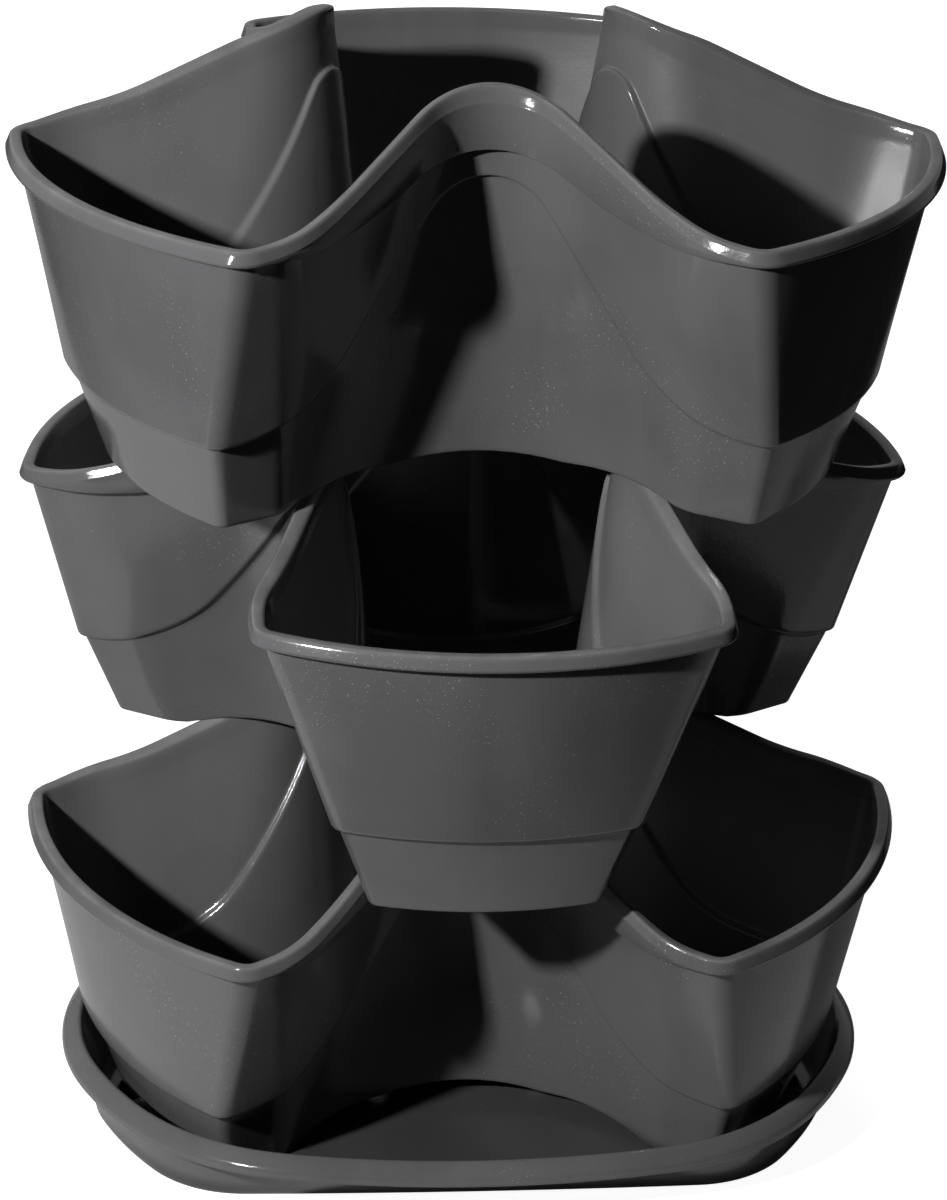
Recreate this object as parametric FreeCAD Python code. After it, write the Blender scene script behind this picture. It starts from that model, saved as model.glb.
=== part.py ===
import FreeCAD, Part
import os
from math import acos, asin, atan2, cos, pi, radians, sin, sqrt, tan

# Stacking planter tower: three equal three-lobed pots on one saucer, in millimetres.
# +Z is up and the front is -Y. The origin is on the floor, at the centre of the saucer.

# Pot heights above the plane of its base
low_rim_height = 105.0      # rim along the outer wall of each lobe
shoulder_height = 32.5      # step line along the outer wall of each lobe

# Pot plan at the base, measured on the outside of the wall
base_lobe_radius = 128.0    # outer wall of a lobe, from the axis
base_half_width = 40.0      # of a lobe, across
base_saddle_reach = 0.0     # where the two side walls of a saddle would meet, from the axis
base_saddle_angle = 37.7    # side wall to saddle axis, degrees
base_saddle_round = 72.0
base_bend_round = 22.0
base_corner_round = 4.0

# Pot plan at the low rim, measured on the outside of the wall
rim_lobe_radius = 152.7
rim_saddle_reach = 32.1
rim_saddle_angle = 34.5
rim_saddle_round = 34.3
rim_bend_round = 39.7
rim_corner_round = 5.0
shoulder_swell = 3.2        # how far the step line stands out from a straight wall
smallest_corner = 0.5

# Pot walls
wall = 2.2
shoulder_step = 2.0         # how far the wall below the step line stands in
step_overlap = 4.0          # the wall above starts this far below the step line, before it is cut
ledge_lift = 6.5            # the ledge inside lies this much above the step outside
floor_thickness = 2.5

# Wave of the rim over each saddle
wave_height = 31.5
wave_crown_round = 45.5
wave_foot_round = 64.4
wave_slope = 34.8           # degrees
crest_side_length = 1.9     # side of a lobe from its corner to its bend, in the plan at the crest

# Lip round the rim
lip_width = 2.8             # beyond the outside of the wall
lip_depth = 5.0
skirt_wave_height = 17.5    # wave of the lip's lower edge

# Arch of the step line over each saddle
arch_height = 74.5
arch_crown_round = 22.0
arch_foot_round = 50.0
arch_slope = 57.5           # degrees

# Hub: the raised middle of the floor, which sits over the rim of the pot below
hub_clearance = 1.5         # round and above the rim below
hub_draft = 4.0             # degrees
seat_depth = 2.2            # how far the walls of a pot reach down over the rim below
seat_clearance = 0.3
foot_arch_height = 7.0      # lifts the lower edge of the wall at each saddle
foot_arch_half_width = 48.0
drain_radius = 4.0
drain_circle = 34.0
margin = 1.0                # how far a cutting block runs past what it cuts

# Saucer
saucer_thickness = 2.5
saucer_rim_height = 27.0
saucer_lip_width = 4.8
saucer_lip_drop = 4.0
saucer_lip_depth = 3.0
saucer_pot_gap = 11.3       # from the base of a lobe to the foot of the saucer's wall
saucer_lobe_flare = 5.2     # how much the wall leans out at a lobe
saucer_foot_bow = 2800.0    # radius of a side of the foot
saucer_foot_corner = 41.0
saucer_foot_arc = 7.4       # half of the arc round a lobe, degrees
saucer_rim_bow = 334.0
saucer_rim_corner = 84.0
saucer_rim_arc = 5.4
rib_thickness = 3.0
rib_height = 15.0
rib_clearance = 0.8

LOBES = (90.0, 210.0, 330.0)
SADDLES = (270.0, 30.0, 150.0)
THIRD = 120.0
SIXTH = 60.0
HALVINGS = 40
SHORTEST_EDGE = 0.01
outside = rim_lobe_radius * 1.5     # clear of everything


def point(x, y, z=0.0):
    return FreeCAD.Vector(x, y, z)


def turned(shape, degrees):
    copy = shape.copy()
    copy.rotate(point(0, 0), point(0, 0, 1), degrees)
    return copy


def raised(shape, height, along=0.0):
    copy = shape.copy()
    copy.translate(point(along, 0, height))
    return copy


def round_axis(place, degrees):
    return FreeCAD.Rotation(point(0, 0, 1), degrees).multVec(place)


def between(low, high, share):
    return low + (high - low) * share


shoulder_lobe_radius = shoulder_swell + between(base_lobe_radius, rim_lobe_radius,
                                                shoulder_height / low_rim_height)


def lobe_radius(z):
    """Radius of a lobe's outer wall, which flares more below the step line."""
    if z < shoulder_height:
        return between(base_lobe_radius, shoulder_lobe_radius, z / shoulder_height)
    share = (z - shoulder_height) / (low_rim_height - shoulder_height)
    return between(shoulder_lobe_radius, rim_lobe_radius, share)


def half_width_at_crest():
    """Half width of a lobe whose side bends away to the saddle at that length from its corner."""
    share = top_height / low_rim_height
    reach = between(base_saddle_reach, rim_saddle_reach, share)
    bend = between(base_bend_round, rim_bend_round, share)
    corner = between(base_corner_round, rim_corner_round, share)
    turn = radians(SIXTH - between(base_saddle_angle, rim_saddle_angle, share))
    slope = tan(turn)
    inner = crest_side_length + reach * cos(radians(SIXTH)) + bend * tan(turn / 2)
    offset = corner + inner * slope - reach * sin(radians(SIXTH))
    end = lobe_radius(top_height) - corner
    across = slope * sqrt((1 + slope ** 2) * end ** 2 - offset ** 2) - offset
    return corner + across / (1 + slope ** 2)


top_height = low_rim_height + wave_height + wall
crest_half_width = half_width_at_crest()


def section(z, grow=0.0):
    """Sizes of the pot's plan at one height, moved outwards by grow."""
    share = z / low_rim_height
    angle = radians(between(base_saddle_angle, rim_saddle_angle, share))
    corner = between(base_corner_round, rim_corner_round, share) + grow
    return {
        "radius": lobe_radius(z) + grow,
        "width": between(base_half_width, crest_half_width, z / top_height) + grow,
        "angle": angle,
        "reach": between(base_saddle_reach, rim_saddle_reach, share) + grow / sin(angle),
        "saddle": between(base_saddle_round, rim_saddle_round, share) - grow,
        "bend": between(base_bend_round, rim_bend_round, share) + grow,
        "corner": max(smallest_corner, corner),
    }


def side_of_lobe(plan):
    """Points of one side of a lobe, along and across its axis, from its end to the saddle."""
    radius, width, angle, bend = plan["radius"], plan["width"], plan["angle"], plan["bend"]
    corner = plan["corner"]
    corner_across = width - corner
    corner_along = sqrt((radius - corner) ** 2 - corner_across ** 2)
    lean = atan2(corner_across, corner_along)
    half = (lean + pi / 2) / 2
    turn = radians(SIXTH) - angle
    side_run = (width - plan["reach"] * sin(radians(SIXTH))) / sin(turn)
    bend_along = plan["reach"] * cos(radians(SIXTH)) + side_run * cos(turn)
    bend_start = bend_along + bend * tan(turn / 2)
    bend_across = width - bend
    saddle_trim = plan["saddle"] / tan(angle)
    arc_end = (saddle_trim * sin(angle), plan["reach"] + saddle_trim * cos(angle))
    return {
        "end": (radius * cos(lean), radius * sin(lean)),
        "corner": (corner_along + corner * cos(half), corner_across + corner * sin(half)),
        "side": (corner_along, width),
        "bend_start": (bend_start, width),
        "bend": (bend_start - bend * sin(turn / 2), bend_across + bend * cos(turn / 2)),
        "bend_end": (bend_start - bend * sin(turn), bend_across + bend * cos(turn)),
        "saddle": from_saddle(*arc_end),
    }


def from_saddle(across, along):
    """A point given across and along the saddle axis, now along and across the lobe axis."""
    c, s = cos(radians(SIXTH)), sin(radians(SIXTH))
    return (along * c + across * s, along * s - across * c)


def saddle_middle(plan):
    return plan["reach"] + plan["saddle"] * (1 / sin(plan["angle"]) - 1)


def arc(first, middle, last):
    return Part.Arc(first, middle, last).toShape()


def line(first, last):
    return Part.LineSegment(first, last).toShape()


def pot_outline(z, grow=0.0):
    """Plan of the pot at one height: each lobe in turn, and the saddle after it."""
    plan = section(z, grow)
    side = side_of_lobe(plan)

    def put(name, mirror):
        along, across = side[name]
        return point(along, across * mirror, z)

    saddle = round_axis(point(saddle_middle(plan), 0, z), SIXTH)
    lobe = [
        line(put("saddle", -1), put("bend_end", -1)),
        arc(put("bend_end", -1), put("bend", -1), put("bend_start", -1)),
        line(put("bend_start", -1), put("side", -1)),
        arc(put("side", -1), put("corner", -1), put("end", -1)),
        arc(put("end", -1), point(plan["radius"], 0, z), put("end", 1)),
        arc(put("end", 1), put("corner", 1), put("side", 1)),
        line(put("side", 1), put("bend_start", 1)),
        arc(put("bend_start", 1), put("bend", 1), put("bend_end", 1)),
        line(put("bend_end", 1), put("saddle", 1)),
        arc(put("saddle", 1), saddle, round_axis(put("saddle", -1), THIRD)),
    ]
    return Part.Wire([turned(edge, angle) for angle in LOBES for edge in lobe])


def pot_block(heights, grow=0.0):
    """Solid of the pot's plan between heights, with straight walls from one to the next."""
    outlines = [pot_outline(z, grow) for z in heights]
    return Part.makeLoft(outlines, True, True)


def wave(across, height, crown, foot, slope):
    """Height of a smooth wave at a distance from its middle, and its half width."""
    straight = height - (crown + foot) * (1 - cos(slope))
    if straight < 0:
        slope = acos(1 - height / (crown + foot))
        straight = 0.0
    crown_end = crown * sin(slope)
    foot_start = crown_end + straight / tan(slope)
    half_width = foot_start + foot * sin(slope)
    across = abs(across)
    if across < crown_end:
        rise = height - crown + sqrt(crown ** 2 - across ** 2)
    elif across < foot_start:
        rise = height - crown * (1 - cos(slope)) - (across - crown_end) * tan(slope)
    elif across < half_width:
        rise = foot - sqrt(foot ** 2 - (half_width - across) ** 2)
    else:
        rise = 0.0
    return rise, half_width, (crown_end, foot_start, half_width)


def wave_face(base, height, crown, foot, slope, bottom):
    """Face under a wave, upright in the plane across a saddle's axis."""
    def top(across):
        return point(across, 0, base + wave(across, height, crown, foot, slope)[0])

    crown_end, foot_start, half_width = wave(0, height, crown, foot, slope)[2]
    foot_middle = (foot_start + half_width) / 2
    edges = [
        line(point(-half_width, 0, bottom), top(-half_width)),
        arc(top(-half_width), top(-foot_middle), top(-foot_start)),
    ]
    if foot_start - crown_end > SHORTEST_EDGE:
        edges.append(line(top(-foot_start), top(-crown_end)))
    edges.append(arc(top(-crown_end), top(0), top(crown_end)))
    if foot_start - crown_end > SHORTEST_EDGE:
        edges.append(line(top(crown_end), top(foot_start)))
    edges.append(arc(top(foot_start), top(foot_middle), top(half_width)))
    edges.append(line(top(half_width), point(half_width, 0, bottom)))
    edges.append(line(point(half_width, 0, bottom), point(-half_width, 0, bottom)))
    return Part.Face(Part.Wire(edges))


def under_wave(base, height, crown, foot, slope):
    """Everything below a level that rises in a wave over each of the three saddles."""
    bottom = -margin
    face = wave_face(base, height, crown, foot, slope, bottom)
    ridge = face.extrude(point(0, -outside, 0))
    body = Part.makeCylinder(outside, base - bottom, point(0, 0, bottom))
    return body.fuse([turned(ridge, THIRD * i) for i in range(3)])


rim_shape = (wave_height, wave_crown_round, wave_foot_round, radians(wave_slope))
skirt_shape = (skirt_wave_height, wave_crown_round, wave_foot_round, radians(wave_slope))
arch_shape = (arch_height, arch_crown_round, arch_foot_round, radians(arch_slope))


def rim_wave(across):
    return wave(across, *rim_shape)[0]


def saddle_wall(plan, across):
    """Distance along the saddle axis of the wall at a distance across it."""
    tangent = plan["saddle"] / tan(plan["angle"]) * sin(plan["angle"])
    if across < tangent:
        centre = plan["reach"] + plan["saddle"] / sin(plan["angle"])
        return centre - sqrt(plan["saddle"] ** 2 - across ** 2)
    return plan["reach"] + across / tan(plan["angle"])


def seat_offset():
    """Distance across the lobe of an upper pot at which its wall crosses the rim below."""
    base = section(0.0, -shoulder_step - wall / 2)
    low, high = 0.0, base_half_width * 2
    for step in range(HALVINGS):
        middle = (low + high) / 2
        along, across = from_saddle(middle, saddle_wall(base, middle))
        rim = section(low_rim_height + rim_wave(across), (lip_width - wall) / 2)
        if along > saddle_wall(rim, across):
            high = middle
        else:
            low = middle
    return across


def wave_offset(rise):
    """Distance from the middle of the rim's wave at which it has the given rise."""
    low, high = 0.0, rim_lobe_radius
    for step in range(HALVINGS):
        middle = (low + high) / 2
        if rim_wave(middle) > rise:
            low = middle
        else:
            high = middle
    return high


seat = seat_offset()
stack_gap = rim_wave(seat) - seat_depth
tier_pitch = low_rim_height + stack_gap
lip_end = saddle_wall(section(tier_pitch, lip_width), wave_offset(stack_gap))
hub_reach = lip_end + hub_clearance     # from the axis to the hub wall across each lobe
hub_height = wave_height - stack_gap + hub_clearance


def hub_block(grow, height):
    """Triangular block of the hub, its sides across the lobes and its corners at the saddles."""
    def triangle(reach, z):
        corner = point(reach / cos(radians(SIXTH)), 0, z)
        corners = [round_axis(corner, angle) for angle in SADDLES]
        return Part.makePolygon(corners + corners[:1])

    lean = height * tan(radians(hub_draft))
    low = triangle(hub_reach + grow, 0)
    high = triangle(hub_reach + grow - lean, height)
    return Part.makeLoft([low, high], True, True)


def seat_cutter():
    """Room for the rim of the pot below, under the hub along one lobe."""
    face = wave_face(seat_clearance - stack_gap, *rim_shape, -stack_gap - margin)
    return face.extrude(point(0, hub_reach - hub_height * tan(radians(hub_draft)), 0))


def foot_arch_cutter():
    """Low arch under the wall at the front saddle, which lets water out from under the hub."""
    left = point(-foot_arch_half_width, 0)
    right = point(foot_arch_half_width, 0)
    top = point(0, 0, foot_arch_height)
    face = Part.Face(Part.Wire([arc(left, top, right), line(right, left)]))
    return face.extrude(point(0, -rim_lobe_radius, 0))


def make_pot():
    """One pot standing at the origin, a lobe at each angle of LOBES."""
    lower_heights = (0.0, shoulder_height, top_height)
    upper_heights = (shoulder_height - step_overlap, top_height)
    lip_heights = (low_rim_height - lip_depth - step_overlap, top_height)

    upper = pot_block(upper_heights).cut(under_wave(shoulder_height, *arch_shape))
    lip = pot_block(lip_heights, lip_width)
    lip = lip.cut(under_wave(low_rim_height - lip_depth, *skirt_shape))
    outer = pot_block(lower_heights, -shoulder_step).fuse(upper).fuse(lip)

    inside = -wall - shoulder_step
    room_upper = pot_block(upper_heights, -wall)
    room_upper = room_upper.cut(under_wave(shoulder_height + ledge_lift, *arch_shape))
    room = pot_block((floor_thickness, shoulder_height, top_height), inside).fuse(room_upper)
    room = room.cut(hub_block(floor_thickness, hub_height + floor_thickness))
    recess = pot_block((0.0, shoulder_height), inside).common(hub_block(0.0, hub_height))

    pot = outer.cut(room).cut(recess)
    pot = pot.common(under_wave(low_rim_height, *rim_shape))
    for i in range(3):
        pot = pot.cut(turned(seat_cutter(), THIRD * i))
        pot = pot.cut(turned(foot_arch_cutter(), THIRD * i))
    hole = Part.makeCylinder(drain_radius, top_height)
    holes = [turned(raised(hole, 0.0, drain_circle), angle) for angle in LOBES]
    return pot.cut([hole] + holes)


saucer_foot_lobe = base_lobe_radius + saucer_pot_gap
saucer_rim_lobe = saucer_foot_lobe + saucer_lobe_flare
saucer_foot = (saucer_foot_lobe, saucer_foot_arc, saucer_foot_bow, saucer_foot_corner)
saucer_rim = (saucer_rim_lobe, saucer_rim_arc, saucer_rim_bow, saucer_rim_corner)


def saucer_outline(z, lobe, lobe_arc, bow, corner, grow=0.0):
    """Rounded triangle: bowed sides, round corners, and an arc about the axis at each lobe."""
    lobe, bow, corner = lobe + grow, bow + grow, corner + grow
    lobe_angle = radians(SIXTH - lobe_arc)
    along = (lobe - corner) * cos(lobe_angle)
    across = (lobe - corner) * sin(lobe_angle)
    side_angle = asin(across / (bow - corner))
    side_centre = along - (bow - corner) * cos(side_angle)
    half = (side_angle + lobe_angle) / 2

    def side(angle):
        return point(side_centre + bow * cos(angle), bow * sin(angle), z)

    def round_corner(angle, mirror):
        return point(along + corner * cos(angle), mirror * (across + corner * sin(angle)), z)

    lobe_middle = round_axis(point(lobe, 0, z), SIXTH)
    lobe_end = round_axis(round_corner(lobe_angle, -1), THIRD)
    third = [
        arc(round_corner(lobe_angle, -1), round_corner(half, -1), side(-side_angle)),
        arc(side(-side_angle), side(0), side(side_angle)),
        arc(side(side_angle), round_corner(half, 1), round_corner(lobe_angle, 1)),
        arc(round_corner(lobe_angle, 1), lobe_middle, lobe_end),
    ]
    return Part.Wire([turned(edge, angle) for angle in SADDLES for edge in third])


def saucer_block(grow=0.0):
    """Solid inside the saucer's sloping wall, from foot to rim."""
    foot = saucer_outline(0, *saucer_foot, grow)
    return Part.makeLoft([foot, saucer_outline(saucer_rim_height, *saucer_rim, grow)], True, True)


def saucer_wall_radius(z):
    return between(saucer_foot_lobe, saucer_rim_lobe, z / saucer_rim_height) - saucer_thickness


def make_rib():
    """Upright rib inside the saucer's wall on a lobe's axis, which keeps the pot centred."""
    root = saucer_thickness / 2     # how deep the rib goes into the floor and the wall
    base = saucer_thickness
    top = base + rib_height
    pot_side = base_lobe_radius - shoulder_step + rib_clearance
    pot_top = pot_side + rib_height * (shoulder_lobe_radius - base_lobe_radius) / shoulder_height
    corners = [
        (pot_side, base - root),
        (saucer_wall_radius(0) + root, base - root),
        (saucer_wall_radius(top) + root, top),
        (pot_top, top),
    ]
    wire = Part.makePolygon([point(r, -rib_thickness / 2, z) for r, z in corners + corners[:1]])
    return Part.Face(wire).extrude(point(0, rib_thickness, 0))


def make_saucer():
    rim = saucer_rim_height
    crest = rim - saucer_lip_drop
    lip_bottom = crest - saucer_lip_depth
    low_edge = saucer_outline(lip_bottom, *saucer_rim, saucer_lip_width)
    high_edge = saucer_outline(crest, *saucer_rim, saucer_lip_width)
    edge = Part.makeLoft([low_edge, high_edge], True, True)
    slope = Part.makeLoft([high_edge, saucer_outline(rim, *saucer_rim)], True, True)
    body = saucer_block().fuse([edge, slope])
    above_floor = Part.makeCylinder(outside, rim, point(0, 0, saucer_thickness))
    body = body.cut(saucer_block(-saucer_thickness).common(above_floor))
    ribs = [turned(make_rib(), lobe) for lobe in LOBES]
    return body.fuse(ribs).removeSplitter()


def save(name, shape):
    solids = shape.Solids
    if len(solids) != 1:
        print(name, "has", len(solids), "solids")
    result = solids[0] if len(solids) == 1 else shape
    result.exportStep("parts/" + name + ".step")
    box = result.BoundBox
    print(name, "valid", result.isValid(), "volume", round(result.Volume),
          "z", round(box.ZMin, 2), round(box.ZMax, 2))


os.makedirs("parts", exist_ok=True)
print("seat", round(seat, 2), "tier pitch", round(tier_pitch, 2), "hub", round(hub_reach, 2))
saucer = make_saucer()
save("saucer", saucer)
pot = make_pot()
save("pot_bottom", raised(pot, saucer_thickness))
save("pot_middle", raised(turned(pot, SIXTH), saucer_thickness + tier_pitch))
save("pot_top", raised(pot, saucer_thickness + 2 * tier_pitch))
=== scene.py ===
from math import asin, atan2, cos, pi, radians, sin, sqrt, tan
import bmesh
import bpy
import numpy as np
from mathutils import Matrix, Vector


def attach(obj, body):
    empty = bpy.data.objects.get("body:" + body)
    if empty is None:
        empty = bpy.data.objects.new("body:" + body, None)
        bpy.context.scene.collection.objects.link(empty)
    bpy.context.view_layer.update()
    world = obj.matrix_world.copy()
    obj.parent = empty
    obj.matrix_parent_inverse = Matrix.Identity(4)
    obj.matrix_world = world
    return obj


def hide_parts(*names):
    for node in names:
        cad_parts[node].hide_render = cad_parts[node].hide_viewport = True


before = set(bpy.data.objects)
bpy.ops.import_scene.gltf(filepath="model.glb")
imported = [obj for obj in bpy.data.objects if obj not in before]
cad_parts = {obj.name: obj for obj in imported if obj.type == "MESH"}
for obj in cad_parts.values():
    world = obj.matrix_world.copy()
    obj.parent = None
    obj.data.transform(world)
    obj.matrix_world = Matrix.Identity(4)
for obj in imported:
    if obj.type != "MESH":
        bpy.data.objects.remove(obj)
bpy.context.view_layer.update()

# Camera at the photograph's viewing angle, in metres and degrees
CAMERA_YAW = 4.489
CAMERA_PITCH = 24.358
CAMERA_ROLL = -1.444
CAMERA_DISTANCE = 1.2159
CAMERA_SIDE = 0.00307
CAMERA_HEIGHT = 0.17916
LENS = 103.73
SENSOR_WIDTH = 36.0

# Pot, in millimetres and degrees
LOW_RIM = 105.0
SHOULDER = 32.5
TOP = 138.7
TIER_PITCH = 122.01
BASE = {"lobe": 128.0, "reach": 0.0, "angle": 37.7, "saddle": 72.0, "bend": 22.0, "corner": 4.0}
RIM = {"lobe": 152.7, "reach": 32.1, "angle": 34.5, "saddle": 34.3, "bend": 39.7, "corner": 5.0}
SHOULDER_SWELL = 3.2
BASE_HALF_WIDTH = 40.0
CREST_SIDE_LENGTH = 1.9
SMALLEST_CORNER = 0.5
CORNER_MORE = (2.0, 3.5)    # added to the corners of the plan, at the base and at the low rim
WALL = 2.2
STEP_DEPTH = 2.0
LEDGE_LIFT = 6.5            # the inside ledge lies this much higher than the outside step
LIP_WIDTH = 3.5
LIP_DEPTH = 5.0
LIP_DROP = 3.9
LIP_DROP_AT_CREST = 5.2
SHARP_ANGLE = 60.0

# Waves over the saddles: height, radius of the crown, radius of the foot, slope between them
WAVE_ROUNDS = (45.5, 64.4, 34.8)
RIM_WAVE = (31.5,) + WAVE_ROUNDS
SKIRT_WAVE = (15.5,) + WAVE_ROUNDS
STEP_ARCH = (73.2, 22.0, 50.0, 57.5)
LEDGE_ARCH = (77.8, 12.5, 50.0, 57.5)

# Seat on the waves of the rim below, which stand lower there than on their own pot
SEAT_DROP = 16.71
SEAT_REACH = 94.8
FOOT_ARCH = (7.0, 48.0)     # height and half the width of the arch under a saddle

# Rounded edges of the wall: radius, and how far the middle of the round lies from both faces
EDGE = (0.6, 0.18)
LIP_EDGE = (0.4, 0.12)
LEDGE_EDGE = (0.7, 0.2)

# Heights above an edge at which the plain wall begins
FOOT_GUARD = 1.8
STEP_GUARDS = (-2.0, 1.6)
SKIRT_GUARD = -1.6
LEDGE_GUARDS = (2.0, -1.8)

# Lip: share of its slope, distance in from its outer face, height above the slope
LIP_PROFILE = (
    (0.0, 0.0, -0.35), (0.0, 0.05, -0.05), (0.0, 0.2, 0.18),
    (0.3, 0.85, 0.06), (0.62, 1.68, 0.05), (0.88, 2.35, 0.02))

# Rim: distance out from the wall's inner face, height above the rim's level
RIM_PROFILE = (
    (2.92, -0.16), (2.5, -0.04), (0.75, -0.02), (0.2, -0.08), (-0.25, -0.28),
    (-0.5, -0.65), (-0.6, -1.2), (-0.55, -2.6), (-0.3, -5.0), (0.0, -8.0))

# Floor of the pot and the hub in its middle
FLOOR_THICK = 2.5
FLOOR_UNDER = 0.15
FLOOR_ROUND = 1.5
FLOOR_TUCK = 0.5            # how far the floor reaches into the wall
HUB_SIDE = 98.4
HUB_INSIDE = 95.9
HUB_UNDER = 16.0
HUB_TOP = HUB_UNDER + FLOOR_THICK
HUB_LEAN = 0.07
HUB_ROUND = 1.2
HUB_CLEAR = 0.3
HALFWAY = 0.29              # middle of a quarter round, as a share of its radius
DRAIN_RADIUS = 4.0
DRAIN_CIRCLE = 34.0
DRAIN_SIDES = 24
DRAIN_CUT = (HUB_UNDER - 5, HUB_UNDER + 10)

# Saucer
SAUCER_FOOT = {"lobe": 139.3, "arc": 7.4, "bow": 2800.0, "corner": 41.0}
SAUCER_RIM = {"lobe": 144.5, "arc": 5.4, "bow": 334.0, "corner": 84.0}
SAUCER_HEIGHT = 27.0
SAUCER_WALL = 2.5
SAUCER_LIP = 4.79
SAUCER_LIP_BOTTOM = 20.0
SAUCER_OUTSIDE = (3.0, 8.0, 13.0, 18.0, 19.4)
SAUCER_INSIDE = (23.0, 18.0, 13.0, 10.0, 8.0, 6.5)
RIB_THICK = 3.0
RIB_FOOT = SAUCER_WALL - 1.0
RIB_TOP = 17.5
RIB_INNER = (126.8, 131.9)  # distance from the axis, at the rib's foot and at its top
RIB_OUTER = (SAUCER_FOOT["lobe"] - 1.5, SAUCER_FOOT["lobe"] + 3.5)
RIB_END_DROP = 0.6
RIB_END_WIDTH = 0.8

# Rounding from the saucer's underside to its wall: distance out from the wall, height
SAUCER_FOOT_ROUND = ((-1.2, 0.0), (-0.35, 0.35), (0.0, 1.2))

# Saucer's lip: distance in from its outermost point, height
SAUCER_LIP_EDGE = (
    (1.5, 20.0), (0.7, 20.0), (0.2, 20.2), (0.02, 20.7), (0.02, 21.4),
    (0.06, 22.2), (0.25, 22.9), (0.7, 23.6), (1.4, 24.3), (2.3, 25.0))

# Saucer's rim: distance out from the wall's outer face, height
SAUCER_LIP_TOP = (
    (1.6, 25.7), (0.6, 26.3), (-0.3, 26.75), (-0.9, 26.95),
    (-1.5, 26.85), (-2.1, 26.4), (-2.4, 25.8), (-SAUCER_WALL, 24.9))

# Rounding from the saucer's wall to its floor: distance in from the wall, height
SAUCER_FLOOR_ROUND = ((0.3, 4.97), (1.17, 3.67), (2.47, 2.8), (4.0, SAUCER_WALL))

# Directions of the lobes and of the saddles, and units
LOBES = (90.0, 210.0, 330.0)
SADDLES = (270.0, 30.0, 150.0)
SIXTH = radians(60)
MM = 0.001

# Fineness of the meshes
LOBE_STEPS = 14
CORNER_STEPS = 8
SIDE_STEPS = 8
BEND_STEPS = 8
STRAIGHT_STEPS = 18
SADDLE_STEPS = 12
BOW_STEPS = 14
SAUCER_CORNER_STEPS = 18
SAUCER_LOBE_STEPS = 7
FILL_ROWS = 5
LEVEL_ROUNDS = 60

# Plastic: its grey, and the shares of it in clouds, flow marks and the painted shade near the
# floor
PLASTIC_TONE = 0.08
CLOUD_TONES = (0.88, 1.1)
FLOW_TONE = 1.25
FLOW_MOST = 0.35
FOOT_SHADE_TONE = 0.2

# Greys of the dust and of the painted light from above on up-facing faces, where they and the
# painted shade near the floor lie, and what marks add to the roughness
SPECK_TONE = 0.32
SPECK_MOST = 0.5
DUST_AND_TOP_LIGHT_TONE = 0.2
DUST_AND_TOP_LIGHT_MOST = 0.5
DUST_AND_TOP_LIGHT_SLOPES = (0.35, 0.8)
DUST_AND_TOP_LIGHT_HEIGHTS = (0.03, 0.08)
FOOT_SHADE_MOST = 0.65
FOOT_SHADE_HEIGHTS = (0.003, 0.009)
SCUFF_ROUGHNESS = 0.07
SPECK_ROUGHNESS = 0.4
SATIN_ROUGHNESS = 0.24

# Bumps: scale of the noise, height in metres, strength
WAVE_BUMP = (22.0, 0.004, 0.10)
GRAIN_BUMP = (900.0, 0.0002, 0.18)

# Noises of the plastic: each one's settings, the values it rises between and what it rises to
NOISES = {
    "clouds": {"scale": 14.0, "detail": 3.0, "roughness": 0.55, "rise": (0.35, 0.65)},
    "flow": {"scale": 30.0, "detail": 3.0, "roughness": 0.6, "rise": (0.3, 0.7),
             "stretch": (1.0, 1.0, 0.12), "distortion": 0.6},
    "specks": {"scale": 1500.0, "detail": 1.0, "roughness": 0.4, "rise": (0.70, 0.74)},
    "patches": {"scale": 18.0, "detail": 2.0, "roughness": 0.5, "rise": (0.48, 0.68)},
    # Patches of the dust and of the painted light from above on up-facing faces
    "dust_and_top_light": {"scale": 60.0, "detail": 3.0, "roughness": 0.6, "rise": (0.3, 0.7),
                "to": (0.4, 1.0)},
    "scuffs": {"scale": 70.0, "detail": 6.0, "roughness": 0.7, "rise": (0.52, 0.75),
               "stretch": (1.0, 1.0, 0.5), "distortion": 1.5},
    "gloss": {"scale": 9.0, "detail": 3.0, "roughness": 0.6, "rise": (0.3, 0.7),
              "to": (0.10, 0.15)},
}

# Floor that the tower stands on, in metres
FLOOR_SIZE = 4.0
FLOOR_DROP = 0.0002
FLOOR_WHITE = 0.95
FLOOR_COLOUR = 0.5
# Dark floor beside and before the tower: painted shade for the tower's reflections
DARK_FLOOR_COLOUR = 0.01
PALE_HALF_WIDTH = 0.42
PALE_FRONT = -0.21
PALE_BLUR = 0.02

# World: its light, and its brightness in reflections in front of and behind the tower
WORLD_FILL = 0.02
WORLD_MIRRORED = (0.02, 0.3)
WORLD_BEHIND = (0.0, 0.8)

# Lamps, in metres, degrees and watts
KEY_PLACE = (-0.637, -0.74, 0.729)
KEY_TARGET = (0, 0, 0.25)
KEY_SIZE = 0.05
KEY_POWER = 7.5
SOFT_KEY_POWER = 9.5
MIDDLE_HEIGHT = 0.2
LAMP_DISTANCE = 2.0
BACK_LAMP = {"azimuth": 175, "elevation": 20, "size": 1.0, "power": 14}
SIDE_LAMP = {"azimuth": 75, "elevation": 4, "size": 0.9, "power": 10}


def between(low, high, share):
    return low + (high - low) * share


def steps(count):
    """Shares from 0 up to, but not including, 1."""
    return np.arange(count) / count


# Plan of the pot

def lobe_radius(z):
    shoulder = SHOULDER_SWELL + between(BASE["lobe"], RIM["lobe"], SHOULDER / LOW_RIM)
    if z < SHOULDER:
        return between(BASE["lobe"], shoulder, z / SHOULDER)
    return between(shoulder, RIM["lobe"], (z - SHOULDER) / (LOW_RIM - SHOULDER))


def plan_values(z):
    return {name: between(BASE[name], RIM[name], z / LOW_RIM) for name in BASE}


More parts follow.
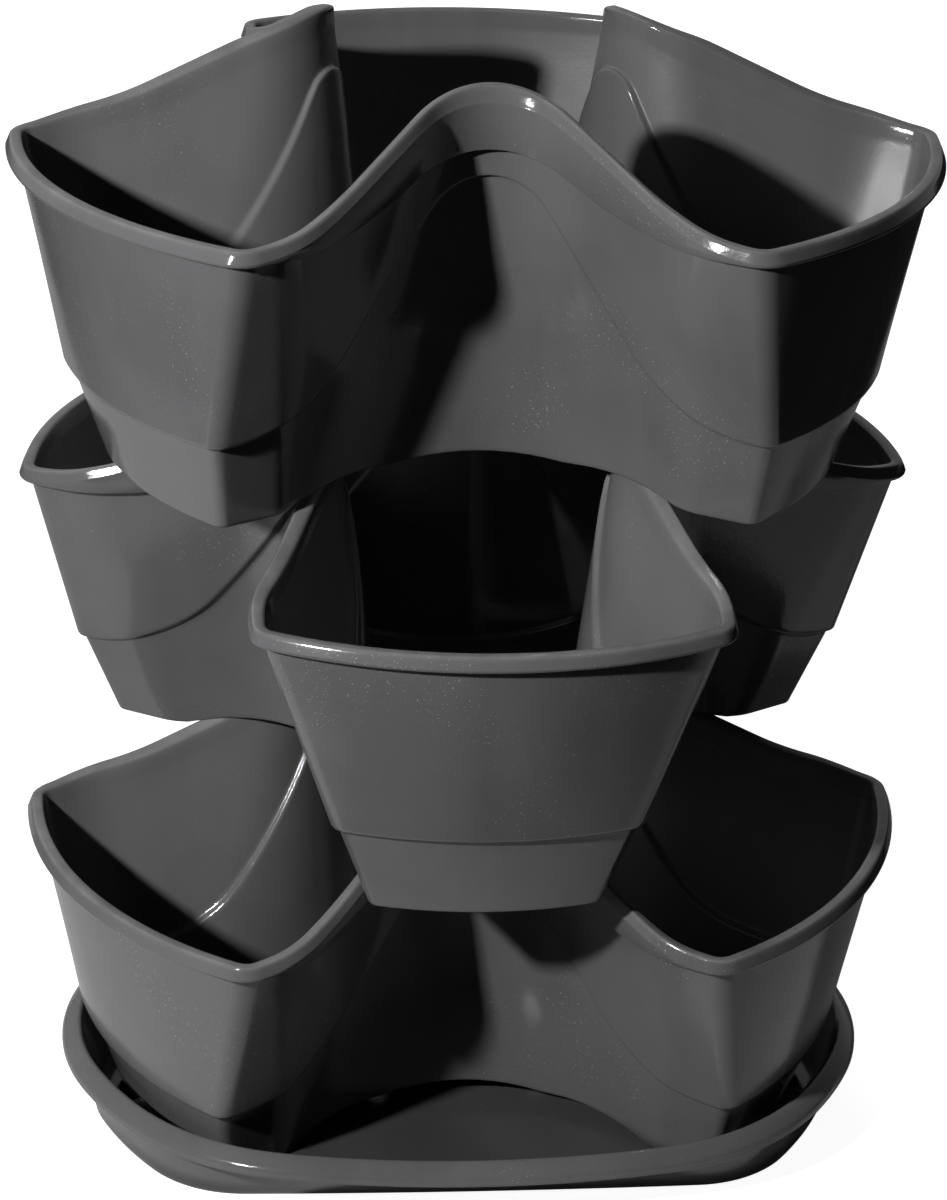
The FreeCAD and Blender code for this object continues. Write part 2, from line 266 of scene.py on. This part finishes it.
def crest_half_width():
    """Half the width of a lobe at the top, where its straight side is nearly used up."""
    plan = plan_values(TOP)
    turn = SIXTH - radians(plan["angle"])
    slope = tan(turn)
    inner = CREST_SIDE_LENGTH + plan["reach"] * cos(SIXTH) + plan["bend"] * tan(turn / 2)
    offset = plan["corner"] + inner * slope - plan["reach"] * sin(SIXTH)
    end = lobe_radius(TOP) - plan["corner"]
    across = slope * sqrt((1 + slope ** 2) * end ** 2 - offset ** 2) - offset
    return plan["corner"] + across / (1 + slope ** 2)


def pot_stations(z, grow):
    """Points along and across a lobe's axis, from the lobe's middle to the saddle's middle."""
    plan = plan_values(z)
    angle = radians(plan["angle"])
    radius = lobe_radius(z) + grow
    width = between(BASE_HALF_WIDTH, crest_half_width(), z / TOP) + grow
    reach = plan["reach"] + grow / sin(angle)
    saddle = plan["saddle"] - grow
    bend = plan["bend"] + grow
    corner = max(SMALLEST_CORNER, plan["corner"] + between(*CORNER_MORE, z / LOW_RIM) + grow)
    corner_across = width - corner
    corner_along = sqrt((radius - corner) ** 2 - corner_across ** 2)
    lean = atan2(corner_across, corner_along)
    turn = SIXTH - angle
    side_run = (width - reach * sin(SIXTH)) / sin(turn)
    bend_start = reach * cos(SIXTH) + side_run * cos(turn) + bend * tan(turn / 2)
    t = lean * steps(LOBE_STEPS)
    points = [np.stack([radius * np.cos(t), radius * np.sin(t)], 1)]
    t = between(lean, pi / 2, steps(CORNER_STEPS))
    points.append(np.stack([corner_along + corner * np.cos(t),
                            corner_across + corner * np.sin(t)], 1))
    t = steps(SIDE_STEPS)
    points.append(np.stack([between(corner_along, bend_start, t), np.full(SIDE_STEPS, width)], 1))
    t = turn * steps(BEND_STEPS)
    points.append(np.stack([bend_start - bend * np.sin(t), width - bend + bend * np.cos(t)], 1))
    bend_end = np.array([bend_start - bend * sin(turn), width - bend + bend * cos(turn)])
    middle = reach + saddle / sin(angle)
    t = (pi / 2 - angle) * np.linspace(1, 0, SADDLE_STEPS + 1)
    arc = from_saddle(saddle * np.sin(t), middle - saddle * np.cos(t))
    points.append(between(bend_end, arc[0], steps(STRAIGHT_STEPS)[:, None]))
    points.append(arc)
    return np.concatenate(points)


def from_saddle(across, along):
    """Points given across and along a saddle's axis, turned to the lobe's axis."""
    c, s = cos(SIXTH), sin(SIXTH)
    return np.stack([along * c + across * s, along * s - across * c], 1)


class Wall:
    """Where the pot's wall runs at each height, moved outwards by grow."""

    def __init__(self, grow):
        self.sections = [pot_stations(z, grow) for z in (0.0, SHOULDER, TOP)]

    def at(self, z):
        foot, shoulder, top = self.sections
        low = between(foot, shoulder, (z / SHOULDER)[:, None])
        high = between(shoulder, top, ((z - SHOULDER) / (TOP - SHOULDER))[:, None])
        return np.where((z < SHOULDER)[:, None], low, high)


walls = {}


def wall_at(grow, z):
    if grow not in walls:
        walls[grow] = Wall(grow)
    return walls[grow].at(z)


# Levels that the pot's edges follow

def wave(across, height, crown, foot, slope):
    """Height of a wave at each distance from its middle line."""
    slope = radians(slope)
    straight = height - (crown + foot) * (1 - cos(slope))
    if straight < 0:
        slope = np.arccos(1 - height / (crown + foot))
        straight = 0.0
    across = np.abs(across)
    crown_end = crown * sin(slope)
    foot_start = crown_end + straight / tan(slope)
    end = foot_start + foot * sin(slope)
    on_crown = height - crown + np.sqrt(np.maximum(0, crown ** 2 - across ** 2))
    on_side = height - crown * (1 - cos(slope)) - (across - crown_end) * tan(slope)
    on_foot = foot - np.sqrt(np.maximum(0, foot ** 2 - (end - across) ** 2))
    return np.select([across < crown_end, across < foot_start, across < end],
                     [on_crown, on_side, on_foot], 0.0)


def across_saddle(place):
    return np.abs(place[:, 0] * sin(SIXTH) - place[:, 1] * cos(SIXTH))


def rim_level(place):
    return LOW_RIM + wave(across_saddle(place), *RIM_WAVE)


def lip_slope_level(share):
    """Level on the lip's sloping top, from its outer edge at 0 to the rim at 1."""
    def level(place):
        rise = wave(across_saddle(place), *RIM_WAVE)
        drop = between(LIP_DROP, LIP_DROP_AT_CREST, rise / RIM_WAVE[0])
        return LOW_RIM + rise - drop * (1 - share)
    return level


def skirt_level(place):
    return LOW_RIM - LIP_DEPTH + wave(across_saddle(place), *SKIRT_WAVE)


def step_level(place):
    return SHOULDER + wave(across_saddle(place), *STEP_ARCH)


def ledge_level(place):
    return SHOULDER + LEDGE_LIFT + wave(across_saddle(place), *LEDGE_ARCH)


def foot_level(place):
    """Lower edge of the wall: flat, but for the arch under a saddle and the seat on the waves."""
    height, half_width = FOOT_ARCH
    radius = (half_width ** 2 + height ** 2) / (2 * height)
    across = np.minimum(across_saddle(place), half_width)
    arch = height - radius + np.sqrt(radius ** 2 - across ** 2)
    seat = wave(place[:, 1], *RIM_WAVE) - SEAT_DROP
    seat = np.where(place[:, 0] < SEAT_REACH, seat, 0.0)
    return np.maximum(0.0, np.maximum(arch, seat))


def level_row(level, grow, rise):
    """Heights at which the wall, moved outwards by grow, meets a level, and so much above it."""
    z = np.full(len(wall_at(grow, np.zeros(1))), SHOULDER)
    for _ in range(LEVEL_ROUNDS):
        z = between(z, level(wall_at(grow, z)) + rise, 0.5)
    return z


def rounded(level, grow, out, up, sizes=EDGE):
    """Three rows round an edge, from its level face to its upright face. The level face lies
    outwards of the edge at out = 1, inwards at -1; the upright one above it at up = 1, below
    at -1."""
    radius, halfway = sizes
    return [(level, grow + out * radius, 0.0),
            (level, grow + out * halfway, up * halfway),
            (level, grow, up * radius)]


def wall_rows():
    """Rows of the pot's wall from its lower edge up the outside, over the rim and down inside,
    and for each row whether it lies on the satin upper part of the inside."""
    lower, upper, lip = -STEP_DEPTH, 0.0, LIP_WIDTH
    inside, inside_low = -WALL, -STEP_DEPTH - WALL
    inner_foot = rounded(foot_level, inside_low, 1, 1)
    outer_foot = rounded(foot_level, lower, -1, 1) + [(foot_level, lower, FOOT_GUARD)]
    step = [(step_level, lower, STEP_GUARDS[0])] + rounded(step_level, lower, 1, -1)[::-1]
    step += rounded(step_level, upper, -1, 1) + [(step_level, upper, STEP_GUARDS[1])]
    skirt = [(skirt_level, upper, SKIRT_GUARD)] + rounded(skirt_level, upper, 1, -1)[::-1]
    skirt += rounded(skirt_level, lip, -1, 1, LIP_EDGE)
    slope = [(lip_slope_level(share), lip - inwards, rise) for share, inwards, rise in LIP_PROFILE]
    rim = [(rim_level, inside + out, rise) for out, rise in RIM_PROFILE]
    ledge = [(ledge_level, inside, LEDGE_GUARDS[0])] + rounded(ledge_level, inside, -1, 1)[::-1]
    ledge += rounded(ledge_level, inside_low, 1, -1, LEDGE_EDGE)
    ledge.append((ledge_level, inside_low, LEDGE_GUARDS[1]))
    parts = [inner_foot[:1] + outer_foot, step, skirt + slope + rim, ledge,
             [(foot_level, inside_low, FOOT_GUARD)] + inner_foot[:0:-1]]
    rows = []
    satin = []
    last_z = None
    for part in parts:
        for index, (level, grow, rise) in enumerate(part):
            heights = [level_row(level, grow, rise)]
            if index == 0 and last_z is not None:
                shares = np.arange(1, FILL_ROWS + 1) / (FILL_ROWS + 1)
                heights = [between(last_z, heights[0], share) for share in shares] + heights
            for z in heights:
                rows.append(np.column_stack([wall_at(grow, z), z]))
                satin.append(grow == inside)
            last_z = heights[-1]
    return rows, satin


def floor_rows():
    """Rows of the floor and the hub, from the underside's middle out to the wall and back over
    the top to the middle."""
    inside = -STEP_DEPTH - WALL
    base = wall_at(inside, np.full(1, FLOOR_THICK))
    low = base[:, 0] > HUB_SIDE + HUB_ROUND + HUB_CLEAR
    floor = np.where(low, FLOOR_THICK, HUB_TOP)
    under = np.where(low, FLOOR_UNDER, HUB_UNDER)

    def place(grow, z):
        return np.column_stack([wall_at(grow, z), z])

    def towards(first, along, z, share):
        """Points where the way from first to the axis reaches along; elsewhere a share of it."""
        scale = np.where(low, along / np.maximum(first[:, 0], 1), share)
        scale = np.minimum(scale, 1.0)
        row = first * np.array([1.0, 1.0, 0.0]) * scale[:, None]
        row[:, 2] = z
        return row

    half = HALFWAY * FLOOR_ROUND
    above = [place(inside + FLOOR_TUCK, floor + FLOOR_ROUND), place(inside, floor + FLOOR_ROUND),
             place(inside - half, floor + half), place(inside - FLOOR_ROUND, floor)]
    start = above[-1]
    half = HALFWAY * HUB_ROUND
    lean = HUB_LEAN * HUB_ROUND
    head = HUB_SIDE - HUB_LEAN * (HUB_TOP - FLOOR_THICK)
    for along, z, share in (
            (HUB_SIDE + HUB_ROUND, FLOOR_THICK, 0.995),
            (HUB_SIDE + half, FLOOR_THICK + half, 0.99),
            (HUB_SIDE - lean, FLOOR_THICK + HUB_ROUND, 0.985),
            (head + lean, HUB_TOP - HUB_ROUND, 0.975),
            (head - half, HUB_TOP - half, 0.97),
            (head - HUB_ROUND, HUB_TOP, 0.965)):
        above.append(towards(start, along, np.where(low, z, HUB_TOP), share))
    inner = above[-1]
    for share in (0.85, 0.7, 0.55, 0.4, 0.25, 0.1):
        above.append(inner * np.array([share, share, 1.0]))
    below = [place(inside + FLOOR_TUCK, under), place(inside - 0.2, under)]
    start = below[-1]
    for along, z, share in (
            (HUB_INSIDE + 0.1, FLOOR_UNDER, 0.99),
            (HUB_INSIDE, 0.8, 0.985),
            (SEAT_REACH + 0.1, HUB_UNDER - 0.8, 0.975),
            (SEAT_REACH - 0.7, HUB_UNDER, 0.965)):
        below.append(towards(start, along, np.where(low, z, HUB_UNDER), share))
    inner = below[-1]
    for share in (0.7, 0.4, 0.1):
        below.append(inner * np.array([share, share, 1.0]))
    return below[::-1] + above


# Turning rows of points into a mesh

def ring(half, axes):
    """A half sector's row of points, mirrored and turned to each axis."""
    mirrored = half[::-1] * np.array([1, -1, 1])
    sector = np.concatenate([mirrored[:-1], half[:-1]])
    turned = []
    for angle in axes:
        c, s = cos(radians(angle)), sin(radians(angle))
        x, y, z = sector.T
        turned.append(np.stack([x * c - y * s, x * s + y * c, z], 1))
    return np.concatenate(turned)


def skin(bm, rings, closed=False):
    """Faces between rings of points; closed joins the last ring to the first."""
    made = [[bm.verts.new(Vector(p) * MM) for p in points] for points in rings]
    pairs = list(zip(made, made[1:]))
    if closed:
        pairs.append((made[-1], made[0]))
    for one, other in pairs:
        for i in range(len(one)):
            j = (i + 1) % len(one)
            bm.faces.new((one[i], one[j], other[j], other[i]))
    return made


def capped(bm, rings, first_pole, last_pole):
    """Faces between rings, and from the first and the last ring to a point in its middle."""
    made = skin(bm, rings)
    for pole, edge in ((first_pole, made[0]), (last_pole, made[-1])):
        top = bm.verts.new(Vector(pole) * MM)
        for i in range(len(edge)):
            bm.faces.new((edge[i], edge[(i + 1) % len(edge)], top))


def mesh_from(name, bm):
    bmesh.ops.recalc_face_normals(bm, faces=bm.faces)
    mesh = bpy.data.meshes.new(name)
    bm.to_mesh(mesh)
    bm.free()
    return mesh


def smooth(mesh):
    mesh.polygons.foreach_set("use_smooth", [True] * len(mesh.polygons))
    mesh.set_sharp_from_angle(angle=radians(SHARP_ANGLE))
    return mesh


# Pot

def drain(bm, centre):
    """An upright cylinder through the hub, to cut one drain hole with."""
    turn = 2 * pi / DRAIN_SIDES
    low, high = DRAIN_CUT
    circle = [(centre[0] + DRAIN_RADIUS * cos(turn * i), centre[1] + DRAIN_RADIUS * sin(turn * i))
              for i in range(DRAIN_SIDES)]
    rings = [[(*point, z) for point in circle] for z in (low, high)]
    capped(bm, rings, (*centre, low), (*centre, high))


def cut(mesh, tool):
    """The mesh less the tool, with the solver run and its result kept."""
    piece = bpy.data.objects.new("piece", mesh)
    cutter = bpy.data.objects.new("cutter", tool)
    for thing in (piece, cutter):
        bpy.context.scene.collection.objects.link(thing)
    modifier = piece.modifiers.new("cut", "BOOLEAN")
    modifier.operation = "DIFFERENCE"
    modifier.solver = "MANIFOLD"
    modifier.object = cutter
    graph = bpy.context.evaluated_depsgraph_get()
    result = bpy.data.meshes.new_from_object(piece.evaluated_get(graph))
    bpy.data.objects.remove(piece)
    bpy.data.objects.remove(cutter)
    return result


def plate_mesh():
    """The pot's floor and hub, with a drain hole in the middle and one towards each lobe."""
    bm = bmesh.new()
    capped(bm, [ring(row, LOBES) for row in floor_rows()], (0, 0, HUB_UNDER), (0, 0, HUB_TOP))
    plate = mesh_from("plate", bm)
    bm = bmesh.new()
    drain(bm, (0.0, 0.0))
    for angle in LOBES:
        drain(bm, (DRAIN_CIRCLE * cos(radians(angle)), DRAIN_CIRCLE * sin(radians(angle))))
    return cut(plate, mesh_from("drains", bm))


def pot_mesh():
    plate = plate_mesh()
    rows, satin = wall_rows()
    rings = [ring(row, LOBES) for row in rows]
    bm = bmesh.new()
    skin(bm, rings, closed=True)
    layer = bm.verts.layers.float.new("satin")
    for index, vertex in enumerate(bm.verts):
        vertex[layer] = float(satin[index // len(rings[0])])
    bm.from_mesh(plate)
    return smooth(mesh_from("pot", bm))


# Saucer

def saucer_stations(shape, grow):
    """Points along and across a saddle's axis, from the side's middle to the lobe's middle."""
    lobe, bow, corner = (shape[name] + grow for name in ("lobe", "bow", "corner"))
    lobe_angle = SIXTH - radians(shape["arc"])
    along = (lobe - corner) * cos(lobe_angle)
    across = (lobe - corner) * sin(lobe_angle)
    side_angle = asin(across / (bow - corner))
    centre = along - (bow - corner) * cos(side_angle)
    t = side_angle * steps(BOW_STEPS)
    points = [np.stack([centre + bow * np.cos(t), bow * np.sin(t)], 1)]
    t = between(side_angle, lobe_angle, steps(SAUCER_CORNER_STEPS))
    points.append(np.stack([along + corner * np.cos(t), across + corner * np.sin(t)], 1))
    t = np.linspace(lobe_angle, SIXTH, SAUCER_LOBE_STEPS)
    points.append(np.stack([lobe * np.cos(t), lobe * np.sin(t)], 1))
    return np.concatenate(points)


def saucer_row(grow, z, plan_z=None):
    """A row round the saucer at height z, with the outline that it has at plan_z, or else at z."""
    share = (z if plan_z is None else plan_z) / SAUCER_HEIGHT
    place = between(saucer_stations(SAUCER_FOOT, grow), saucer_stations(SAUCER_RIM, grow), share)
    return np.column_stack([place, np.full(len(place), z)])


def rib(bm, angle):
    """An upright rib inside the saucer's wall, its top edges rounded."""
    half = RIB_THICK / 2
    profile = [(-half, 0.0), (-half, 0.75), (-half, 0.96), (-0.7 * half, 1.0),
               (0.7 * half, 1.0), (half, 0.96), (half, 0.75), (half, 0.0)]
    c, s = cos(radians(angle)), sin(radians(angle))
    rings = []
    for share in (0.0, 0.03, 0.1, 0.55, 1.0):
        drop = RIB_END_DROP if share == 0.0 else 0.0
        width = RIB_END_WIDTH if share == 0.0 else 1.0
        points = []
        for across, up in profile:
            z = between(RIB_FOOT, RIB_TOP - drop, up)
            rise = (z - RIB_FOOT) / (RIB_TOP - RIB_FOOT)
            along = between(between(*RIB_INNER, rise), between(*RIB_OUTER, rise), share)
            points.append((along * c - across * width * s, along * s + across * width * c, z))
        rings.append(points)
    made = skin(bm, rings)
    bm.faces.new(made[0])
    bm.faces.new(made[-1])


def saucer_mesh():
    inside = -SAUCER_WALL
    radius, halfway = EDGE
    foot = [saucer_row(out, z) for out, z in SAUCER_FOOT_ROUND]
    rows = [foot[0] * np.array([share, share, 1]) for share in (0.1, 0.3, 0.5, 0.7, 0.9)]
    rows += foot
    rows += [saucer_row(0.0, z) for z in SAUCER_OUTSIDE]
    rows.append(saucer_row(halfway, SAUCER_LIP_BOTTOM - halfway))
    rows.append(saucer_row(radius, SAUCER_LIP_BOTTOM))
    rows += [saucer_row(SAUCER_LIP - inwards, z, SAUCER_HEIGHT) for inwards, z in SAUCER_LIP_EDGE]
    rows += [saucer_row(out, z, SAUCER_HEIGHT) for out, z in SAUCER_LIP_TOP]
    rows += [saucer_row(inside, z) for z in SAUCER_INSIDE]
    rows += [saucer_row(inside - inwards, z) for inwards, z in SAUCER_FLOOR_ROUND]
    floor = rows[-1]
    rows += [floor * np.array([share, share, 1]) for share in (0.95, 0.8, 0.6, 0.4, 0.2, 0.1)]
    bm = bmesh.new()
    capped(bm, [ring(row, SADDLES) for row in rows], (0, 0, 0), (0, 0, SAUCER_WALL))
    for angle in LOBES:
        rib(bm, angle)
    return smooth(mesh_from("saucer", bm))


# Placing the pieces

def add_piece(name, mesh, node, body, material):
    piece = bpy.data.objects.new(name, mesh)
    bpy.context.scene.collection.objects.link(piece)
    mesh.materials.clear()
    mesh.materials.append(material)
    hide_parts(node)
    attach(piece, body)


def placed(mesh, degrees, rise):
    copy = mesh.copy()
    turn = Matrix.Rotation(radians(degrees), 4, "Z")
    copy.transform(Matrix.Translation((0, 0, rise * MM)) @ turn)
    return copy


# Materials

class Nodes:
    """Short ways to add a material's nodes and join them."""

    def __init__(self, tree):
        self.tree = tree
        self.coordinates = self.add("ShaderNodeTexCoord").outputs
        self.place = self.coordinates["Object"]

    def add(self, kind, **settings):
        node = self.tree.nodes.new(kind)
        for name, value in settings.items():
            setattr(node, name, value)
        return node

    def feed(self, socket, value):
        """Links another node's output to the socket, or sets the socket to a value."""
        if isinstance(value, bpy.types.NodeSocket):
            self.tree.links.new(value, socket)
        else:
            socket.default_value = value

    def set(self, node, inputs):
        for name, value in inputs.items():
            self.feed(node.inputs[name], value)

    def split(self, vector):
        node = self.add("ShaderNodeSeparateXYZ")
        self.set(node, {"Vector": vector})
        return node.outputs

    def noise(self, scale, detail=2.0, roughness=0.5, stretch=None, distortion=0.0):
        place = self.place
        if stretch:
            mapping = self.add("ShaderNodeMapping")
            self.set(mapping, {"Vector": self.place, "Scale": stretch})
            place = mapping.outputs["Vector"]
        node = self.add("ShaderNodeTexNoise")
        self.set(node, {"Vector": place, "Scale": scale, "Detail": detail,
                        "Roughness": roughness, "Distortion": distortion})
        return node.outputs["Fac"]

    def ramp(self, value, low, high, to_low=0.0, to_high=1.0):
        node = self.add("ShaderNodeMapRange", interpolation_type="SMOOTHSTEP")
        self.set(node, {"Value": value, "From Min": low, "From Max": high,
                        "To Min": to_low, "To Max": to_high})
        return node.outputs["Result"]

    def marks(self, rise, to=(0.0, 1.0), **noise):
        """Noise, made into marks with soft edges."""
        return self.ramp(self.noise(**noise), *rise, *to)

    def math(self, operation, one, other):
        node = self.add("ShaderNodeMath", operation=operation)
        for socket, value in zip(node.inputs, (one, other)):
            self.feed(socket, value)
        return node.outputs["Value"]

    def mix(self, share, one, other):
        node = self.add("ShaderNodeMix", data_type="RGBA")
        for index, value in ((0, share), (6, one), (7, other)):
            self.feed(node.inputs[index], value)
        return node.outputs[2]

    def bump(self, height, distance, strength, under=None):
        node = self.add("ShaderNodeBump")
        self.set(node, {"Height": height, "Distance": distance, "Strength": strength})
        if under is not None:
            self.set(node, {"Normal": under})
        return node.outputs["Normal"]


def grey(level, tint=1.03):
    return (level, level, level * tint, 1.0)


def plastic(name, tone):
    """Moulded anthracite plastic: flow marks, a fine grain, uneven gloss, dust with painted light
    from above on up-facing faces, and painted shade near the floor.
    """
    material = bpy.data.materials.new(name)
    material.use_nodes = True
    shader = material.node_tree.nodes["Principled BSDF"]
    nodes = Nodes(material.node_tree)
    marks = {kind: nodes.marks(**settings) for kind, settings in NOISES.items()}
    height = nodes.split(nodes.place)["Z"]
    upward = nodes.split(nodes.add("ShaderNodeNewGeometry").outputs["Normal"])["Z"]
    satin = nodes.add("ShaderNodeAttribute", attribute_name="satin").outputs["Fac"]

    colour = nodes.mix(marks["clouds"], *(grey(tone * share) for share in CLOUD_TONES))
    flow = nodes.math("MULTIPLY", marks["flow"], FLOW_MOST)
    colour = nodes.mix(flow, colour, grey(tone * FLOW_TONE))
    specks = nodes.math("MULTIPLY", marks["patches"], SPECK_MOST)
    specks = nodes.math("MULTIPLY", marks["specks"], specks)
    colour = nodes.mix(specks, colour, grey(SPECK_TONE, 0.97))
    # Lighter grey on up-facing faces above the saucer: partly dust, partly painted light from
    # above
    dust_and_top_light = nodes.ramp(upward, *DUST_AND_TOP_LIGHT_SLOPES, 0.0, DUST_AND_TOP_LIGHT_MOST)
    dust_and_top_light = nodes.math("MULTIPLY", dust_and_top_light, marks["dust_and_top_light"])
    dust_and_top_light = nodes.math("MULTIPLY", dust_and_top_light, nodes.ramp(height, *DUST_AND_TOP_LIGHT_HEIGHTS))
    colour = nodes.mix(dust_and_top_light, colour, grey(DUST_AND_TOP_LIGHT_TONE, 0.98))
    # Painted shade near the floor, full below 3 mm and gone above 9 mm: it darkens the saucer's
    # floor and the feet standing on it
    foot_shade = nodes.ramp(height, *FOOT_SHADE_HEIGHTS, FOOT_SHADE_MOST, 0.0)
    colour = nodes.mix(foot_shade, colour, grey(tone * FOOT_SHADE_TONE))

    rough = marks["gloss"]
    for share, more in ((marks["scuffs"], SCUFF_ROUGHNESS), (specks, SPECK_ROUGHNESS),
                        (satin, SATIN_ROUGHNESS)):
        rough = nodes.math("ADD", rough, nodes.math("MULTIPLY", share, more))
    scale, distance, strength = WAVE_BUMP
    waves = nodes.bump(nodes.noise(scale), distance, strength)
    scale, distance, strength = GRAIN_BUMP
    grain = nodes.bump(nodes.noise(scale), distance, strength, waves)
    nodes.set(shader, {"Base Color": colour, "Roughness": rough, "Normal": grain,
                       "Specular IOR Level": 0.5, "IOR": 1.5})
    return material


# Camera, world, floor and lamps

def make_camera():
    pitch, roll = radians(CAMERA_PITCH), radians(CAMERA_ROLL)
    forward = Vector((0, cos(pitch), -sin(pitch)))
    up = Vector((0, sin(pitch), cos(pitch)))
    right = Vector((1, 0, 0))
    across = right * cos(roll) - up * sin(roll)
    above = right * sin(roll) + up * cos(roll)
    matrix = Matrix((across, above, -forward)).transposed().to_4x4()
    matrix.translation = Vector((CAMERA_SIDE, 0, CAMERA_HEIGHT)) - forward * CAMERA_DISTANCE
    data = bpy.data.cameras.new("camera")
    data.sensor_width = SENSOR_WIDTH
    data.sensor_fit = "AUTO"
    data.lens = LENS
    camera = bpy.data.objects.new("camera", data)
    camera.matrix_world = Matrix.Rotation(-radians(CAMERA_YAW), 4, "Z") @ matrix
    bpy.context.scene.collection.objects.link(camera)
    bpy.context.scene.camera = camera


def make_world():
    """White to the camera, dim in reflections, less so behind the tower, and a low fill."""
    world = bpy.data.worlds.new("studio")
    bpy.context.scene.world = world
    world.use_nodes = True
    nodes = Nodes(world.node_tree)
    ray = nodes.add("ShaderNodeLightPath").outputs
    backwards = nodes.split(nodes.coordinates["Generated"])["Y"]
    mirrored = nodes.ramp(backwards, *WORLD_BEHIND, *WORLD_MIRRORED)
    through = nodes.math("MAXIMUM", ray["Is Glossy Ray"], ray["Is Transmission Ray"])
    strength = nodes.math("MULTIPLY", through, mirrored)
    strength = nodes.math("MAXIMUM", strength, ray["Is Camera Ray"])
    strength = nodes.math("MAXIMUM", strength, WORLD_FILL)
    nodes.set(world.node_tree.nodes["Background"], {"Strength": strength, "Color": (1, 1, 1, 1)})


def make_floor():
    """White to the camera; to other rays a pale strip under and behind the tower, with dark floor
    beside and before it as painted shade, which darkens the tower's reflections and the light
    thrown back onto it."""
    mesh = bpy.data.meshes.new("floor")
    size = FLOOR_SIZE
    mesh.from_pydata([(-size, -size, 0), (size, -size, 0), (size, size, 0), (-size, size, 0)],
                     [], [(0, 1, 2, 3)])
    floor = bpy.data.objects.new("floor", mesh)
    floor.location.z = -FLOOR_DROP
    bpy.context.scene.collection.objects.link(floor)
    material = bpy.data.materials.new("floor")
    material.use_nodes = True
    nodes = Nodes(material.node_tree)
    place = nodes.split(nodes.place)
    aside = nodes.math("ABSOLUTE", place["X"], 0.0)
    aside = nodes.ramp(aside, PALE_HALF_WIDTH, PALE_HALF_WIDTH + PALE_BLUR, 1.0, 0.0)
    behind = nodes.ramp(place["Y"], PALE_FRONT - PALE_BLUR, PALE_FRONT)
    pale = nodes.math("MULTIPLY", aside, behind)
    white = nodes.ramp(pale, 0.0, 1.0, 1.0, FLOOR_WHITE)
    ray = nodes.add("ShaderNodeLightPath").outputs
    nodes.set(material.node_tree.nodes["Principled BSDF"], {
        "Base Color": nodes.mix(pale, grey(DARK_FLOOR_COLOUR, 1.0), grey(FLOOR_COLOUR, 1.0)),
        "Roughness": 0.7, "Specular IOR Level": 0.1, "Emission Color": (1, 1, 1, 1),
        "Emission Strength": nodes.math("MULTIPLY", ray["Is Camera Ray"], white)})
    mesh.materials.append(material)


def area_light(name, place, target, size, power, mirrored):
    data = bpy.data.lights.new(name, "AREA")
    data.energy = power
    data.size = size
    light = bpy.data.objects.new(name, data)
    light.location = place
    light.rotation_mode = "QUATERNION"
    light.rotation_quaternion = (Vector(target) - Vector(place)).to_track_quat("-Z", "Y")
    light.visible_glossy = mirrored
    bpy.context.scene.collection.objects.link(light)


def around(azimuth, elevation, distance):
    """A place so far from the tower's middle, turned to the left of the front and raised."""
    turn, rise = radians(azimuth), radians(elevation)
    return (-sin(turn) * cos(rise) * distance, -cos(turn) * cos(rise) * distance,
            sin(rise) * distance + MIDDLE_HEIGHT)


def make_lamps():
    area_light("key", KEY_PLACE, KEY_TARGET, KEY_SIZE, KEY_POWER, True)
    area_light("key_soft", KEY_PLACE, KEY_TARGET, KEY_SIZE, SOFT_KEY_POWER, False)
    for name, lamp in (("back", BACK_LAMP), ("side", SIDE_LAMP)):
        place = around(lamp["azimuth"], lamp["elevation"], LAMP_DISTANCE)
        area_light(name, place, (0, 0, MIDDLE_HEIGHT), lamp["size"], lamp["power"], False)


# The scene

make_camera()
make_world()
make_floor()
make_lamps()
black = plastic("pot_plastic", PLASTIC_TONE)
pot = pot_mesh()
for tier, where in enumerate(("bottom", "middle", "top")):
    shape = placed(pot, 60 * (tier % 2), SAUCER_WALL + TIER_PITCH * tier)
    add_piece(where + "_pot_shell", shape, "pot_" + where, where + "_pot", black)
add_piece("saucer_tray", saucer_mesh(), "saucer", "saucer", black)
bpy.context.scene.view_settings.view_transform = "Standard"
